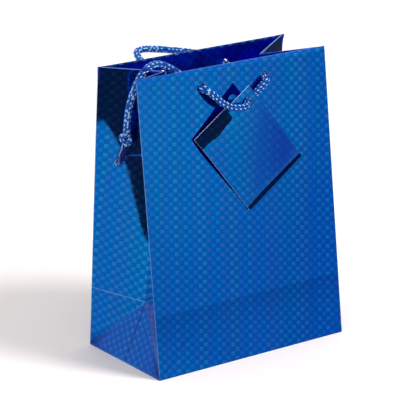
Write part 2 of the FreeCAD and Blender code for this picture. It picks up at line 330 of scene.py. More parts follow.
CHECK_CELL = (2.66, 2.27)    # millimetres, across and up
CHECK_LEAN = 0.066           # the film is laminated a little askew: columns lean, rows climb
CHECK_CLIMB = 0.235
CHECK_CLIMB_LESS = 0.0006    # the rows climb less with each millimetre up
CHECK_FIRST = 100.0          # cells are counted from here, so that no count is negative
CHECK_EDGE = (0.40, 0.47)    # a square fades between these distances from its cell's middle
CHECK_SHOWS = 0.70           # how much of a square's own colour shows in the foil
SHADED_FACET_DIM = 0.62             # each square is two facets; this is the dimmer one, in painted shade
BAND_STEP, BAND_DIM = 0.21, 0.60      # columns come in stronger and weaker bands
HUE_STEP = 0.31                       # and in bands of hue
# painted shade: the colour that the foil beside folds is darkened towards
PAINTED_SHADE_NAVY = (0.002, 0.018, 0.16, 1.0)
PAINTED_SHADE_PATCH_NAVY = (0.015, 0.006, 0.30, 1.0)
# pale wear on creases, with a painted highlight along them
WEAR_AND_HIGHLIGHT_PALE = (0.45, 0.55, 0.80, 1.0)
GRAIN, TOOTH = 2.2, 1.1      # noise scales per millimetre: metal grain, the paper's tooth
SMUDGE, CLOUD, WAVE = 0.12, 0.060, 0.055      # handling marks, patches of painted shade, slack paper
HOLOGRAM = [(0.0, (0.020, 0.27, 0.60, 1.0)), (0.3, (0.008, 0.17, 0.70, 1.0)),
            (0.52, (0.050, 0.13, 0.60, 1.0)), (0.75, (0.050, 0.22, 0.52, 1.0)),
            (1.0, (0.020, 0.25, 0.68, 1.0))]


def hologram_check(s, place, climb):
    """The embossed check: how strongly a point belongs to a square, and that square's colour."""
    across, up = s.across_and_up(place)
    leaned = s.math("SUBTRACT", across, s.times(up, CHECK_LEAN))
    slope = s.math("SUBTRACT", climb, s.times(up, CHECK_CLIMB_LESS))
    climbed = s.math("ADD", up, s.times(across, slope))
    u = s.math("ADD", s.math("DIVIDE", leaned, CHECK_CELL[0]), CHECK_FIRST)
    v = s.math("ADD", s.math("DIVIDE", climbed, CHECK_CELL[1]), CHECK_FIRST)
    column, row = s.math("FLOOR", u), s.math("FLOOR", v)
    in_u, in_v = s.math("FRACT", u), s.math("FRACT", v)
    square = s.times(s.math("FRACT", s.times(s.math("ADD", column, row), 0.5)), 2.0)
    for inside in (in_u, in_v):
        square = s.times(square, s.range(s.apart(inside, 0.5), *CHECK_EDGE, 1.0, 0.0))
    # painted shade: the lower right facet of each square is dimmer, as if lit from the upper left
    facet = s.range(s.math("SUBTRACT", in_v, in_u), -0.10, 0.10, SHADED_FACET_DIM, 1.0)
    strength = s.range(s.cell_noise(column, BAND_STEP, 1.0), 0.34, 0.62, BAND_DIM, 1.0)
    ramp = s.node("ShaderNodeValToRGB")
    for i, (where, colour) in enumerate(HOLOGRAM):
        stop = ramp.color_ramp.elements[i] if i < 2 else ramp.color_ramp.elements.new(where)
        stop.position = where
        stop.color = colour
    s.link(s.range(s.cell_noise(column, HUE_STEP, 2.0), 0.3, 0.7, 0.0, 1.0), ramp.inputs["Fac"])
    return s.times(s.times(square, facet), strength), ramp.outputs["Color"]


def foil(name, colour, kind="uv", creases=(), shades=(), climb=CHECK_CLIMB, rough=0.04, wave=0.5,
         patches=0.0, metal=1.0, painted_shade_colour=PAINTED_SHADE_NAVY):
    """Mirror-like metallic foil on paper, embossed with a fine holographic check."""
    s = Shader(name)
    place = s.coordinates(kind)
    check, glint = hologram_check(s, place, climb)
    base = s.mix_colour(s.times(check, CHECK_SHOWS), colour, glint)
    grain = s.range(s.noise(place, GRAIN, 4.0, 0.6), 0.35, 0.75, 0.0, 0.12)
    base = s.mix_colour(grain, base, darker(colour, 0.7))
    # painted shade: large dark patches, for the dark reflections inside the mouth
    if patches:
        shade_cloud = s.range(s.noise(place, CLOUD, 2.0), 0.44, 0.58, 0.0, patches)
        base = s.mix_colour(shade_cloud, base, PAINTED_SHADE_PATCH_NAVY)
    # painted shade beside folds, standing in for the shade and dark reflections there
    if shades:
        base = s.mix_colour(painted_crease_shade(s, place, shades), base, painted_shade_colour)
    smudge = s.range(s.noise(place, SMUDGE, 5.0, 0.62), 0.42, 0.72, rough, rough + 0.05)
    roughness = s.math("ADD", smudge, s.times(check, 0.035))
    # pale wear with a painted highlight along the creases; the wear also makes the foil rougher
    if creases:
        wear_and_highlight = crease_wear_and_highlight(s, place, creases)
        base = s.mix_colour(wear_and_highlight, base, WEAR_AND_HIGHLIGHT_PALE)
        roughness = s.math("ADD", roughness, s.times(wear_and_highlight, 0.35))
    s.give("Base Color", base)
    s.give("Metallic", metal)
    s.give("Roughness", roughness)
    waves = s.bump(s.noise(place, WAVE, 2.0), wave, 0.35 * MM)
    s.give("Normal", s.bump(s.noise(place, TOOTH, 3.0), 0.10, 0.03 * MM, waves))
    return s.material


def painted_crease_shade(s, place, shades):
    """Painted shade beside folds, standing in for the shade and dark reflections there. A shade is
    (kind, where, reach, strength, top), in millimetres. Its kind is below (a level), corner (a
    diagonal), fold (the base fold) or line (a vertical)."""
    across, up = s.across_and_up(place)
    total = None
    for kind, where, reach, strength, top in shades:
        if kind == "below":
            off = s.math("SUBTRACT", where, up)
        elif kind == "corner":
            off = s.apart(s.math("SUBTRACT", where, s.math("ABSOLUTE", across)), up)
        elif kind == "fold":
            off = s.math("ADD", s.apart(across, up), s.times(up, 0.5))
        else:
            off = s.apart(across, where)
        line = s.range(off, 0.0, reach, strength, 0.0)
        if kind == "below":
            line = s.times(line, s.range(up, where - 0.3, where + 0.3, 1.0, 0.0))
        line = s.times(line, s.range(up, top - 0.5, top + 0.5, 1.0, 0.0))
        total = line if total is None else s.math("MAXIMUM", total, line)
    return total


def crease_wear_and_highlight(s, place, creases):
    """Pale, broken wear and painted highlight along straight creases. A crease is (axis, where, half width, strength).
    """
    across, up = s.across_and_up(place)
    total = None
    for axis, where, half, strength in creases:
        if axis == "diagonal":
            line = s.range(s.apart(across, up), 0.0, half * 1.4, strength, 0.0)
            line = s.times(line, s.math("LESS_THAN", up, where))
        else:
            line = s.range(s.apart(across if axis == "X" else up, where), 0.0, half, strength, 0.0)
        total = line if total is None else s.math("MAXIMUM", total, line)
    broken = s.range(s.noise(place, 0.35, 6.0, 0.75), 0.36, 0.6, 0.25, 1.0)
    return s.math("MULTIPLY", total, broken, clamp=True)


def paper(name, colour, rough=0.75, kind="uv"):
    """Uncoated paper or card: fibre mottle and a soft tooth."""
    s = Shader(name)
    place = s.coordinates(kind)
    fibres = s.noise(s.scaled(place, (1.0, 0.35, 1.0)), 3.2, 6.0, 0.7)
    mottle = s.noise(place, 0.35, 4.0)
    dark = darker(colour, 0.78)
    tone = s.mix_colour(s.range(mottle, 0.35, 0.7, 0.0, 0.35), colour, dark)
    tone = s.mix_colour(s.range(fibres, 0.55, 0.75, 0.0, 0.3), tone, dark)
    s.give("Base Color", tone)
    s.give("Roughness", rough)
    s.give("Normal", s.bump(fibres, 0.3, 0.08 * MM))
    return s.material


def yarn(name, colour, metallic, rough):
    """A knitted thread: fine plies along it, with painted shade where they part."""
    s = Shader(name)
    place = s.coordinates("uv")
    plies = s.node("ShaderNodeTexWave", Scale=1.6, Distortion=1.0, Detail=2.0)
    plies.bands_direction = "DIAGONAL"
    s.link(place, plies.inputs["Vector"])
    speck = s.noise(place, 1.4, 3.0, 0.7)
    dark = darker(colour, 0.25)
    # painted shade between the plies; the specks are a random darker tone
    tone = s.mix_colour(s.range(plies.outputs["Fac"], 0.1, 0.9, 0.35, 0.0), colour, dark)
    tone = s.mix_colour(s.range(speck, 0.45, 0.65, 0.0, 0.5), tone, dark)
    s.give("Base Color", tone)
    s.give("Metallic", metallic)
    s.give("Roughness", s.range(speck, 0.3, 0.7, rough, rough + 0.15))
    s.give("Normal", s.bump(plies.outputs["Fac"], 0.5, 0.08 * MM))
    return s.material


BLUE = (0.0010, 0.106, 0.44, 1.0)
NO_TOP = 99.0                # a painted shade without an upper end
half_w, half_d, length = (v / MM for v in (HALF_WIDTH, HALF_DEPTH, LENGTH))
# Painted shade on the walls: darker below the cross fold and beside the diagonal folds.
# Pale wear and painted highlight on the walls' vertical creases.
WALL_FOIL = foil("wall_foil", BLUE,
                 creases=[("X", -half_w, 0.35, 0.45), ("X", half_w, 0.35, 0.45)],
                 shades=[("below", half_d, 16.0, 0.25, half_d),
                         ("corner", half_w, 1.6, 0.20, half_d)])
GUSSET_FOIL = {}
# Painted shade on the gussets: a dark line on the middle crease and a dark patch by the base fold.
for half, top_wear_and_highlight in (("back", 0.7), ("front", 0.12)):
    # Pale wear and painted highlight on the creases and top edge, strong on the back half's top, faint on the front's.
    GUSSET_FOIL[half] = foil(f"{half}_gusset_foil", BLUE, climb=0.06, wave=0.03, rough=0.02,
                             creases=[("Y", half_d, 0.35, 0.4), ("diagonal", half_d, 0.25, 0.10),
                                      ("Y", length + 0.2, 0.5, top_wear_and_highlight)],
                             shades=[("line", half_d, 0.6, 0.85, half_d),
                                     ("fold", 0.0, 8.0, 0.95, half_d)])
# The hem foil is a brighter blue than the walls', painted light for the inside of the mouth, with patches of painted
# shade.
HEM_FOIL = foil("hem_foil", (0.003, 0.075, 0.95, 1.0), rough=0.30, wave=1.5, patches=0.6)
PAINTED_SHADE_FOLD_FOIL = {                # the walls take the back one too. Painted shade: the top folds are a darker blue than the foil, the back ones darkest, so they show no bright line
    "back": foil("fold_foil", (0.002, 0.018, 0.14, 1.0), rough=0.25),
    "front": foil("front_fold_foil", (0.003, 0.050, 0.55, 1.0), rough=0.30),
}
BOTTOM_FOIL = foil("bottom_foil", BLUE, kind="object")
# Painted shade: the tag darkens towards its right corner, for the dark reflection there.
TAG_FOIL = foil("tag_foil", (0.0010, 0.122, 0.46, 1.0), wave=0.3,
                shades=[("line", 48.0, 26.0, 0.75, NO_TOP)], painted_shade_colour=(0.010, 0.034, 0.34, 1.0))
WHITE = (0.80, 0.80, 0.78, 1.0)
WHITE_PAPER = paper("white_paper", WHITE)
WHITE_PAPER_FLAP = paper("white_paper_flap", WHITE, kind="object")
TAG_RIM = paper("tag_rim", (0.50, 0.54, 0.78, 1.0))
TAG_BACK = foil("tag_back", (0.003, 0.080, 0.95, 1.0), rough=0.30, wave=0.3, metal=0.3)
GREY_CARD = paper("grey_card", (0.42, 0.40, 0.37, 1.0), 0.85, kind="object")
YARN_BLUE = yarn("yarn_blue", (0.010, 0.135, 0.66, 1.0), 0.85, 0.32)
YARN_SILVER = yarn("yarn_silver", (0.44, 0.74, 1.0, 1.0), 0.35, 0.25)
# Painted shade: the core is a dark violet, for the shade between the stitches; half the tuft's threads take it too.
YARN_CORE_PAINTED_SHADE = yarn("yarn_core_painted_shade", (0.010, 0.003, 0.20, 1.0), 0.6, 0.4)


# ---------------------------------------------------------------- sheets of foil paper
def mesh_object(name, points, faces, uvs, slots, materials):
    """A mesh with its flat coordinates in the UV map and a material index on each face."""
    mesh = bpy.data.meshes.new(name)
    mesh.from_pydata([tuple(p) for p in points], [], faces)
    layer = mesh.uv_layers.new(name="Flat")
    for polygon in mesh.polygons:
        for loop in polygon.loop_indices:
            layer.data[loop].uv = uvs[mesh.loops[loop].vertex_index]
    for material in materials:
        mesh.materials.append(material)
    mesh.polygons.foreach_set("material_index", slots)
    mesh.polygons.foreach_set("use_smooth", [True] * len(mesh.polygons))
    mesh.update()
    obj = bpy.data.objects.new(name, mesh)
    bpy.context.scene.collection.objects.link(obj)
    return obj


def outward_normals(obj):
    bm = bmesh.new()
    bm.from_mesh(obj.data)
    bmesh.ops.recalc_face_normals(bm, faces=bm.faces)
    bm.to_mesh(obj.data)
    bm.free()


def sheet_path(hem_depth, rows, first=BASE_UP):
    """The foil face in section, as (up, depth): up the wall, over the fold, down the hem."""
    top_radius = hem_depth / 2
    path = [(first + (LENGTH - top_radius - first) * row / rows, 0.0) for row in range(rows + 1)]
    for step in range(1, 8):
        angle = math.pi * step / 8
        up = LENGTH - top_radius + top_radius * math.sin(angle)
        path.append((up, top_radius * (1 - math.cos(angle))))
    hem_rows = max(6, int(rows * HEM / LENGTH) + 2)
    for row in range(hem_rows + 1):
        path.append((LENGTH - top_radius - (HEM - top_radius) * row / hem_rows, hem_depth))
    return path


# Material slots of a folded sheet.
OUTSIDE, INSIDE, RIM, HEM_FACE, FOLD_FACE = range(5)


def path_lengths(path):
    total = [path[0][0]]
    for a, b in zip(path, path[1:]):
        total.append(total[-1] + math.dist(a, b))
    return total


def paper_side(path):
    """The same section one paper thickness further in."""
    moved = []
    for i, (up, depth) in enumerate(path):
        a = path[max(i - 1, 0)]
        b = path[min(i + 1, len(path) - 1)]
        run = math.dist(a, b)
        du, dd = (b[0] - a[0]) / run, (b[1] - a[1]) / run
        moved.append((up - dd * PAPER, depth + du * PAPER))
    return moved


def foil_slot(turned):
    """The foil's slot, by how far the section has turned over: outer face, top fold or hem."""
    if turned < 0.45:
        return OUTSIDE
    return FOLD_FACE if turned < 0.999 else HEM_FACE


def double_grid(rows, count, cell_slots, rim_slot, diagonal=()):
    """Faces and slots of two point grids, one behind the other and closed all round their rim.
    cell_slots gives the slots of each row's two faces; the rows in diagonal get triangles."""
    faces = []
    slots = []
    behind = rows * count
    for r in range(rows - 1):
        for c in range(count - 1):
            for shift, slot in zip((0, behind), cell_slots[r]):
                a = shift + r * count + c
                quad = [a, a + 1, a + 1 + count, a + count]
                cell = [quad[:3], [quad[0], *quad[2:]]] if r in diagonal else [quad]
                faces += cell
                slots += [slot] * len(cell)
    rim = [(r * count + c, count) for r in range(rows - 1) for c in (0, count - 1)]
    rim += [(r * count + c, 1) for r in (0, rows - 1) for c in range(count - 1)]
    for a, step in rim:
        faces.append([a, a + step, a + step + behind, a + behind])
        slots.append(rim_slot)
    return faces, slots


def folded_sheet(name, columns, path, place, materials, diagonal=False):
    """A sheet of real thickness. place(s, up, depth) puts a point of the flat sheet in space."""
    points = []
    uvs = []
    for section in (path, paper_side(path)):
        for (up, depth), run in zip(section, path_lengths(path)):
            for s in columns:
                points.append(place(s, up, depth))
                uvs.append((s / MM, run / MM))
    cell_slots = [(foil_slot(depth / path[-1][1]), HEM_FACE if depth > 0 else INSIDE)
                  for _, depth in path]
    below = [r for r in range(len(path) - 1)
             if diagonal and path[r + 1][0] <= HALF_DEPTH * 1.001 and path[r + 1][1] == 0]
    faces, slots = double_grid(len(path), len(columns), cell_slots, RIM, below)
    obj = mesh_object(name, points, faces, uvs, slots, materials)
    outward_normals(obj)
    return obj


def crisp(obj, degrees):
    """Smooth shading, with sharp edges where the paper is folded harder than this."""
    obj.data.set_sharp_from_angle(angle=math.radians(degrees))


def punch(obj, place, outward, radius, depth):
    """Cuts a round hole through a piece."""
    bpy.ops.mesh.primitive_cylinder_add(vertices=48, radius=radius, depth=depth)
    cutter = bpy.context.object
    cutter.rotation_mode = "QUATERNION"
    cutter.rotation_quaternion = outward.to_track_quat("Z", "Y")
    cutter.location = place
    modifier = obj.modifiers.new("hole", "BOOLEAN")
    modifier.operation = "DIFFERENCE"
    modifier.solver = "EXACT"
    modifier.object = cutter
    bpy.context.view_layer.objects.active = obj
    bpy.ops.object.modifier_apply(modifier=modifier.name)
    bpy.data.objects.remove(cutter)


def spread(low, high, count, edge=0.0):
    """Evenly spaced values from low to high, with one more close to each end for a tight edge."""
    values = [low + (high - low) * i / count for i in range(count + 1)]
    if edge:
        values = [low, low + edge] + values[1:-1] + [high - edge, high]
    return values


def ridge(distance, reach):
    """A soft fold line: 1 on the line and 0 at its reach."""
    share = max(0.0, 1 - abs(distance) / reach)
    return share * share


BELLY = 0.30 * MM
RIPPLE = 0.05 * MM
CROSS_FOLD = 0.14 * MM       # where the wall was once folded flat, level with the gusset's crease
DIAGONAL_FOLD = 0.16 * MM


def wall_bulge(side, x, up):
    """How far the wall's paper stands out of its plane: a slack belly and its old fold lines."""
    across = 1 - (abs(x) / HALF_WIDTH) ** 2
    phase = 0.0 if side == "front" else 1.9
    belly = math.sin(math.pi * smooth(up, 0, LENGTH - HEM)) * BELLY
    ripple = RIPPLE * math.sin(up / (23 * MM) + phase) * math.cos(x / (19 * MM) + phase)
    cross_fold = CROSS_FOLD * ridge(up - HALF_DEPTH, 9 * MM)
    corner = HALF_WIDTH - abs(x)
    diagonal = DIAGONAL_FOLD * ridge((corner - up) / math.sqrt(2), 5 * MM) * (up < HALF_DEPTH)
    calm = 1 - smooth(up, LENGTH - HEM - 14 * MM, LENGTH - HEM)
    return (across * (belly + ripple + cross_fold) + diagonal * smooth(corner, 0, 8 * MM)) * calm


CORNER_TAPER = 7 * MM        # near a vertical crease the layers are pinched together
CORNER_MITRE = 3.5 * MM      # and the hem is cut away on the slant
CORNER_PINCHED = 0.45        # share of the layers' depth left at the crease
MITRE_LEFT = 0.05            # share of the hem's length left at the crease


def pinch(from_crease, reach, left):
    return 1 - (1 - left) * (1 - smooth(from_crease, 0, reach))


def wall_sheet(side):
    """One wall with its hem: foil outside, over the fold and on the hem, white paper inside."""
    def place(s, up, depth):
        from_crease = HALF_WIDTH - abs(s)
        if depth > PAPER * 1.5:
            up = LENGTH - (LENGTH - up) * pinch(from_crease, CORNER_MITRE, MITRE_LEFT)
        bulge = wall_bulge(side, s, up) * (depth < PAPER * 1.5)
        taper = pinch(from_crease, CORNER_TAPER, CORNER_PINCHED)
        return wall_point(side, s, up, bulge - depth * taper)

    path = sheet_path(WALL_HEM_DEPTH, 72)
    columns = spread(-HALF_WIDTH, HALF_WIDTH, 56, 0.35 * MM)
    sheet = folded_sheet(f"{side}_wall_sheet", columns, path, place,
                         [WALL_FOIL, WHITE_PAPER, WALL_FOIL, HEM_FOIL, PAINTED_SHADE_FOLD_FOIL["back"]])
    outward = (wall_point(side, 0, 0, 1) - wall_point(side, 0, 0, 0)).normalized()
    for x in (-HOLE_X, HOLE_X):
        punch(sheet, wall_point(side, x, HOLE_UP, 0), outward, HOLE_RADIUS, 12 * MM)
    crisp(sheet, 35)
    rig.ride(sheet, f"{side}_wall")
    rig.replaces(sheet, f"{side}_panel", f"{side}_hem")
    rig.slot(sheet, "wall_foil")


# ---------------------------------------------------------------- gussets
def gusset_points():
    """The crease points of the left gusset's front half, as in the CAD."""
    edge_y = HALF_DEPTH * math.sin(TILT)
    edge_z = HALF_DEPTH * math.cos(TILT)
    rise = HALF_DEPTH**2 - (HALF_DEPTH - edge_y) ** 2
    valley_z = (HALF_DEPTH**2 - rise + edge_z**2) / (2 * edge_z)
    valley_in = math.sqrt(HALF_DEPTH**2 - valley_z**2)
    top_y = LENGTH * math.sin(TILT)
    top_in = math.sqrt(HALF_DEPTH**2 - (HALF_DEPTH - top_y) ** 2)
    upper = LENGTH - HALF_DEPTH
    top_z = valley_z + math.sqrt(upper**2 - (top_in - valley_in) ** 2)
    x = -HALF_WIDTH
    return {
        "corner": Vector((x, -HALF_DEPTH, 0)),
        "middle": Vector((x, 0, 0)),
        "edge": Vector((x, -HALF_DEPTH + edge_y, edge_z)),
        "edge_top": Vector((x, -HALF_DEPTH + top_y, LENGTH * math.cos(TILT))),
        "valley": Vector((x + valley_in, 0, valley_z)),
        "valley_top": Vector((x + top_in, 0, top_z)),
    }


CREASES = gusset_points()


def gusset_surface(s, up):
    """The outer face of the left front gusset half: s from the wall's edge to the middle crease."""
    c = CREASES
    if up >= HALF_DEPTH:
        share = (up - HALF_DEPTH) / (LENGTH - HALF_DEPTH)
        edge = c["edge"].lerp(c["edge_top"], share)
        valley = c["valley"].lerp(c["valley_top"], share)
        return edge.lerp(valley, s / HALF_DEPTH)
    if s <= up:
        return (c["corner"] * (1 - up / HALF_DEPTH) + c["edge"] * ((up - s) / HALF_DEPTH)
                + c["valley"] * (s / HALF_DEPTH))
    return (c["corner"] * (1 - s / HALF_DEPTH) + c["middle"] * ((s - up) / HALF_DEPTH)
            + c["valley"] * (up / HALF_DEPTH))


MITRE_REACH = 4 * MM
LEAST_SLOPE = 0.3            # keeps the mitre short where a gusset half runs nearly across


def gusset_point(s, up, depth):
    """The gusset surface with its thickness, mitred at the wall's crease and the middle crease."""
    if depth > PAPER * 1.2:
        up = LENGTH - (LENGTH - up) * pinch(s, MITRE_REACH, MITRE_LEFT)
    step = 0.4 * MM
    level = min(max(up, 0.0), LENGTH)
    here = gusset_surface(s, level)
    across = (gusset_surface(min(s + step, HALF_DEPTH), level)
              - gusset_surface(max(s - step, 0), level))
    upper = (gusset_surface(s, min(level + step, LENGTH))
             - gusset_surface(s, max(level - step, 0)))
    across.normalize()
    normal = across.cross(upper).normalized()
    if normal.dot(Vector((1, -1, 0))) < 0:
        normal = -normal
    point = here + normal * depth
    if up > level:
        point += Vector((0, 0, up - level))
    if depth > 0 and s < MITRE_REACH:
        behind = (0.5 * PAPER - normal.y * depth) / max(across.y, LEAST_SLOPE)
        point += across * (behind * (1 - s / MITRE_REACH))
    if s > HALF_DEPTH - MITRE_REACH:
        share = (s - (HALF_DEPTH - MITRE_REACH)) / MITRE_REACH
        at_middle = -(normal.y * depth) / max(across.y, LEAST_SLOPE)
        point += across * (at_middle * share)
    return point


def gusset_sheet(side, half):
    """Half a gusset with its lower folds and its hem, bending between the wall and the base."""
    mirror_x = -1 if side == "right" else 1
    mirror_y = -1 if half == "back" else 1

    def place(s, up, depth):
        p = gusset_point(s, up, depth)
        return Vector((p.x * mirror_x, p.y * mirror_y, p.z))

    cells = 16
    columns = spread(0, HALF_DEPTH, cells)
    lower = [(HALF_DEPTH * i / cells, 0.0) for i in range(cells)]
    lower[0] = (BASE_UP, 0.0)
    upper = sheet_path(GUSSET_HEM_DEPTH, 56, HALF_DEPTH)
    name = f"{side}_{half}_gusset"
    sheet = folded_sheet(f"{name}_sheet", columns, lower + upper, place,
                         [GUSSET_FOIL[half], WHITE_PAPER, GUSSET_FOIL[half], HEM_FOIL,
                          PAINTED_SHADE_FOLD_FOIL[half]], diagonal=True)
    crisp(sheet, 14)
    start = wall_point(half, 0, LENGTH, -PAPER)
    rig.blend(sheet, f"{half}_wall", "base", start, wall_point(half, 0, LENGTH, -TOP_GAP))
    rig.replaces(sheet, name, f"{name}_hem", f"{side}_{half}_corner_fold",
                f"{side}_{half}_base_fold")
    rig.slot(sheet, "gusset_foil")


def bag_sheets():
    for half in ("front", "back"):
        wall_sheet(half)
        for side in ("left", "right"):
            gusset_sheet(side, half)


def plain_nodes():
    """CAD nodes whose shape is right get their finish."""
    finishes = {
        BOTTOM_FOIL: [f"{side}_bottom_flap" for side in ("front", "back", "left", "right")],
        GREY_CARD: ["base_board", "front_reinforcement_card", "back_reinforcement_card"],
        WHITE_PAPER_FLAP: ["side_seam_flap"],
    }
    for material, names in finishes.items():
        for name in names:
            mesh = frame["nodes"][name].data
            mesh.materials.clear()
            mesh.materials.append(material)


# ---------------------------------------------------------------- gift tag
TAG_LONG = 49.0 * MM
TAG_SHORT = 37.5 * MM
TAG_THICK = 0.4 * MM
TAG_TURN = math.radians(53.4)
TAG_LIFT = math.radians(6.9)
TAG_CORNER = front_mm(-26.0, 112.0, 0.75)
TAG_HOLE = (6.0 * MM, 31.5 * MM)
TAG_HOLE_RADIUS = 2.9 * MM
TAG_RISE = 1.25 * MM
TAG_SINK = 1.5 * MM
TAG_FALL = 0.8 * MM
TAG_END_LIFT = 27.5          # how sharply the last millimetres bend up, per metre
TAG_LIFTS_FROM = 44.6 * MM


def tag_axes():
    across = Vector((1, 0, 0))
    up = (front_mm(0, 1, 0) - front_mm(0, 0, 0)).normalized()
    out = across.cross(up)
    along = across * math.cos(TAG_TURN) - up * math.sin(TAG_TURN)
    aside = across * math.sin(TAG_TURN) + up * math.cos(TAG_TURN)
    aside = aside * math.cos(TAG_LIFT) + out * math.sin(TAG_LIFT)
    return along, aside, along.cross(aside)


def tag_curl(a, b):
    """The card's spring: it rises beside its upper left edge, sinks, and lifts at the end."""
    wobble = 0.5 * MM * math.sin(b / (2.3 * MM)) * smooth(a, 0, 4 * MM)
    lower_part = 1 - smooth(b, 19 * MM, 25 * MM)
    rise = TAG_RISE * (1 - (1 - smooth(a + wobble, -3 * MM, 8.5 * MM)) * lower_part)
    sink = TAG_SINK * smooth(a, 9 * MM, 47 * MM)
    fall = TAG_FALL * smooth(b, 6 * MM, 46 * MM) * smooth(a, 26 * MM, 58 * MM)
    lift = TAG_END_LIFT * max(0.0, a - TAG_LIFTS_FROM) ** 2
    return rise - sink - fall + lift


def gift_tag():
    along, aside, out = tag_axes()
    columns = spread(0, TAG_LONG, 56)
    rows = spread(0, TAG_SHORT, 30)
    points = []
    uvs = []
    for layer in (TAG_THICK, 0.0):
        for b in rows:
            for a in columns:
                p = TAG_CORNER + along * a + aside * b + out * (tag_curl(a, b) + layer)
                points.append(p)
                flat = along * a + aside * b
                uvs.append((flat.x / MM, flat.z / MM))
    foil_face, rim, back = range(3)
    faces, slots = double_grid(len(rows), len(columns), [(foil_face, back)] * len(rows), rim)
    tag = mesh_object("gift_tag_card", points, faces, uvs, slots, [TAG_FOIL, TAG_RIM, TAG_BACK])
    outward_normals(tag)
    punch(tag, TAG_CORNER + along * TAG_HOLE[0] + aside * TAG_HOLE[1], out, TAG_HOLE_RADIUS,
          14 * MM)
    crisp(tag, 35)
    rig.ride(tag, "gift_tag")
    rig.replaces(tag, "gift_tag")
    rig.slot(tag, "tag_foil")


# ---------------------------------------------------------------- cords
FRONT_LOOP = [front_mm(*place) for place in (
    (-18.5, 135.5, -0.6), (-18.1, 135.0, 2.6), (-15.2, 131.9, 4.6), (-11.2, 127.6, 5.4),
    (-7.2, 125.2, 6.2), (-2.8, 124.4, 7.2), (1.5, 124.4, 7.0), (4.4, 125.2, 2.9),
    (8.6, 127.4, 2.1), (13.0, 130.7, 2.3), (17.3, 134.4, 2.9), (18.5, 135.5, -0.6))]
BACK_LOOP = [back_mm(*place) for place in (
    (-18.5, 135.5, -0.6), (-18.7, 135.8, 5.0), (-19.6, 136.9, 12.0), (-20.0, 138.9, 17.6),
    (-18.6, 140.7, 21.6), (-13.4, 140.7, 23.2), (-7.0, 139.6, 23.5), (0.2, 138.2, 23.2),
    (7.0, 136.9, 22.2), (13.6, 135.9, 19.4), (18.0, 135.8, 13.6), (19.2, 135.8, 7.4),
    (18.6, 135.5, 2.4), (18.5, 135.5, -0.6))]
FRONT_LEFT_STRAND = [front_mm(-18.5, 135.5, -1.9), front_mm(-18.9, 136.0, -4.4)]
FRONT_LEFT_STRAND += [Vector(place) * MM for place in (
    (-22.0, -12.3, 138.2), (-27.0, -11.8, 141.8), (-32.6, -11.3, 145.9), (-38.9, -11.0, 148.9),
    (-44.0, -11.3, 148.1), (-47.0, -11.2, 146.2))]
HANGING_STRAND = [Vector(place) * MM for place in (
    (-48.4, -10.5, 144.0), (-49.9, -9.7, 141.0), (-51.4, -9.4, 137.4), (-53.2, -9.2, 133.2),
    (-54.6, -9.1, 128.6), (-55.4, -9.0, 123.8), (-55.8, -8.8, 119.0))]
FRONT_RIGHT_STRAND = [front_mm(*place) for place in (
    (18.5, 135.5, -1.9), (18.9, 135.1, -5.0), (20.4, 130.6, -7.4), (21.6, 124.0, -7.0),
    (21.2, 116.4, -6.2), (21.9, 110.0, -6.2))]


def back_strand(sign):
    route = [(18.5, 135.5, -1.9), (18.9, 135.0, -5.0), (20.2, 130.2, -7.2),
             (20.6, 124.2, -6.8), (19.8, 117.4, -6.2)]
    return [back_mm(sign * x, up, out) for x, up, out in route]


def centreline(route):
    """The cord's own line: one open NURBS spline through the route, read back as points."""
    curve = bpy.data.curves.new("route", "CURVE")
    curve.dimensions = "3D"
    curve.resolution_u = 24
    spline = curve.splines.new("NURBS")
    spline.points.add(len(route) - 1)
    for point, place in zip(spline.points, route):
        point.co = (*place, 1.0)
    spline.order_u = 3
    spline.use_endpoint_u = True
    obj = bpy.data.objects.new("route", curve)
    bpy.context.scene.collection.objects.link(obj)
    bpy.context.view_layer.update()
    mesh = bpy.data.meshes.new_from_object(obj)
    line = np.array([v.co for v in mesh.vertices])
    bpy.data.meshes.remove(mesh)
    bpy.data.objects.remove(obj)
    return line


def run_along(line):
    """How far along the line each of its points is."""
    return np.concatenate([[0], np.cumsum(np.linalg.norm(np.diff(line, axis=0), axis=1))])


def between(wanted, run, values):
    """The line's values at the wanted distances along it."""
    return np.stack([np.interp(wanted, run, values[:, k]) for k in range(3)], 1)


def even(line, step):
    """The same line as evenly spaced points, and its length."""
    run = run_along(line)
    count = max(int(round(run[-1] / step)), 8)
    return between(np.linspace(0, run[-1], count + 1), run, line), run[-1]


def frames(line):
    """A tangent and two normals at each point, carried along without twist."""
    tangent = np.gradient(line, axis=0)
    tangent /= np.linalg.norm(tangent, axis=1)[:, None]
    first = np.cross(tangent[0], [0.3, 0.2, 1.0])
    if np.linalg.norm(first) < 0.2:
        first = np.cross(tangent[0], [1.0, 0, 0])
    normal = [first / np.linalg.norm(first)]
    for t in tangent[1:]:
        n = normal[-1] - t * (normal[-1] @ t)
        normal.append(n / np.linalg.norm(n))
    normal = np.array(normal)
    return tangent, normal, np.cross(tangent, normal)


